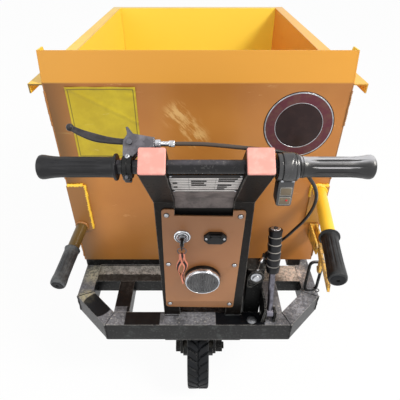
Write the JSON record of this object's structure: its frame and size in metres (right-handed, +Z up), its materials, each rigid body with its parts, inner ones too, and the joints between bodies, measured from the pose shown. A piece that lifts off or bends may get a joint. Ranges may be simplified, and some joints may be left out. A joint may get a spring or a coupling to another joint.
{
  "type": "power barrow",
  "caption": "Walk-behind electric power barrow: sheet hopper that tips forward, bent control column with handlebar, panel and levers, driven front wheels and a rear swivel caster.",
  "frame": {"origin": "on the ground under the middle of the whole barrow", "axes": "+Y forward towards the hopper's chute, +X to the operator's right, +Z up"},
  "size_m": [0.85, 1.3056, 0.958],
  "materials": {
    "frame_paint": "satin black, worn",
    "hopper_paint": "gloss golden yellow",
    "panel_paint": "satin golden yellow",
    "red_plastic": "matt red",
    "black_plastic": "matt black",
    "battery_case": "matt dark grey",
    "grip_rubber": "matt black",
    "cable_sheath": "smooth black",
    "tyre_rubber": "matt black",
    "wheel_paint": "satin dark grey",
    "steel": "zinc plated",
    "chrome": "polished",
    "lens_glass": "ribbed clear",
    "cast_aluminium": "cast",
    "motor_paint": "satin black",
    "lever_steel": "steel rod with a black rubber grip",
    "lever_alloy": "satin black",
    "button_plastic": "matt black",
    "strap": "woven strap on a steel ring"
  },
  "bodies": {
    "chassis": {"rear_loop": "frame_paint", "side_rails": "frame_paint", "crossbars": "frame_paint", "stringers": "frame_paint", "rest_pads": "grip_rubber", "latch_hoop": "frame_paint", "hinge_lugs": "frame_paint", "hinge_pins": "steel", "column_posts": "frame_paint", "post_caps": "red_plastic", "control_box": "frame_paint", "control_panel": "panel_paint", "panel_screws": "steel", "ignition_switch": "black_plastic", "charging_socket": "black_plastic", "lamp_housing": "chrome", "lamp_lens": "lens_glass", "motor_controller": "cast_aluminium", "battery_tray": "frame_paint", "batteries": "battery_case", "handlebar": "steel", "left_grip": "grip_rubber", "brake_perch": "black_plastic", "cable_adjuster": "chrome", "brake_cable": "cable_sheath", "throttle_housing": "black_plastic", "brake_post": "frame_paint", "ratchet_bracket": "frame_paint", "caster_plate": "frame_paint", "axle_housing": "frame_paint", "drive_motor": "motor_paint", "axle_saddles": "frame_paint"},
    "hopper": {"hopper_floor": "hopper_paint", "hopper_sides": "hopper_paint", "hopper_front_wall": "hopper_paint", "hopper_rear_wall": "hopper_paint", "hopper_rims": "hopper_paint", "hopper_hinge_ears": "hopper_paint", "tipping_handles": "hopper_paint", "tipping_grips": "grip_rubber", "latch_bracket": "hopper_paint"},
    "latch": {"latch_lever": "hopper_paint"},
    "caster_swivel": {"caster_fork": "frame_paint", "caster_axle": "steel"},
    "caster_wheel": {"caster_rim": "wheel_paint", "caster_tyre": "tyre_rubber"},
    "left_wheel": {"left_half_shaft": "steel", "left_wheel_rim": "wheel_paint", "left_wheel_tyre": "tyre_rubber"},
    "right_wheel": {"right_half_shaft": "steel", "right_wheel_rim": "wheel_paint", "right_wheel_tyre": "tyre_rubber"},
    "throttle": {"throttle_grip": "grip_rubber"},
    "brake_hand_lever": {"brake_lever": "lever_alloy"},
    "crank": {"brake_crank": "steel"},
    "parking_brake": {"parking_lever": "lever_steel"},
    "release_button": {"parking_button": "button_plastic"},
    "key": {"ignition_key": "steel"},
    "fob": {"key_fob": "strap"},
    "flap": {"socket_flap": "black_plastic"}
  },
  "joints": [
    {"name": "hopper_tip", "type": "hinge", "parent": "chassis", "child": "hopper", "pos_m": [0, 0.37581, 0.367], "axis": [-1, 0, 0], "range_deg": [0, 70]},
    {"name": "latch", "type": "hinge", "parent": "hopper", "child": "latch", "pos_m": [0.308, -0.40319, 0.5], "axis": [1, 0, 0], "range_deg": [-1, 8]},
    {"name": "caster_swivel", "type": "hinge", "parent": "chassis", "child": "caster_swivel", "pos_m": [0, -0.40519, 0.282], "axis": [0, 0, 1], "continuous": true},
    {"name": "caster_spin", "type": "hinge", "parent": "caster_swivel", "child": "caster_wheel", "pos_m": [0, -0.43019, 0.12], "axis": [1, 0, 0], "continuous": true},
    {"name": "left_wheel_spin", "type": "hinge", "parent": "chassis", "child": "left_wheel", "pos_m": [-0.3825, 0.25181, 0.2], "axis": [1, 0, 0], "continuous": true},
    {"name": "right_wheel_spin", "type": "hinge", "parent": "chassis", "child": "right_wheel", "pos_m": [0.3825, 0.25181, 0.2], "axis": [1, 0, 0], "continuous": true},
    {"name": "throttle_twist", "type": "hinge", "parent": "chassis", "child": "throttle", "pos_m": [0.15, -0.61786, 0.86497], "axis": [1, 0, 0], "range_deg": [0, 70], "stiffness_Nm_per_rad": 0.3},
    {"name": "brake_lever", "type": "hinge", "parent": "chassis", "child": "brake_hand_lever", "pos_m": [-0.102, -0.59241, 0.89042], "axis": [0, -0.7071, 0.7071], "range_deg": [0, 20], "stiffness_Nm_per_rad": 2},
    {"name": "brake_crank", "type": "hinge", "parent": "chassis", "child": "crank", "pos_m": [0.137, -0.48419, 0.491], "axis": [0, 1, 0], "range_deg": [0, 12]},
    {"name": "parking_lever", "type": "hinge", "parent": "chassis", "child": "parking_brake", "pos_m": [0.18, -0.50219, 0.372], "axis": [1, 0, 0], "range_deg": [0, 35]},
    {"name": "parking_button", "type": "slide", "parent": "parking_brake", "child": "release_button", "axis": [0, -0.2756, -0.9613], "range_m": [0, 0.005], "stiffness_N_per_m": 400},
    {"name": "ignition_key", "type": "hinge", "parent": "chassis", "child": "key", "pos_m": [-0.03268, -0.51547, 0.63812], "axis": [0, 0.9976, 0.0698], "range_deg": [0, 40]},
    {"name": "key_fob", "type": "hinge", "parent": "key", "child": "fob", "pos_m": [-0.0328, -0.54381, 0.63062], "axis": [0, 0.9976, 0.0698], "range_deg": [-40, 0]},
    {"name": "socket_flap", "type": "hinge", "parent": "chassis", "child": "flap", "pos_m": [0.03604, -0.52457, 0.64645], "axis": [-0.9997, -0.0016, 0.0226], "range_deg": [0, 110], "stiffness_Nm_per_rad": 0.01}
  ],
  "couplings": [
    {"joint": "brake_crank", "follows": "brake_lever", "ratio": 0.6},
    {"joint": "key_fob", "follows": "ignition_key", "ratio": -1}
  ]
}
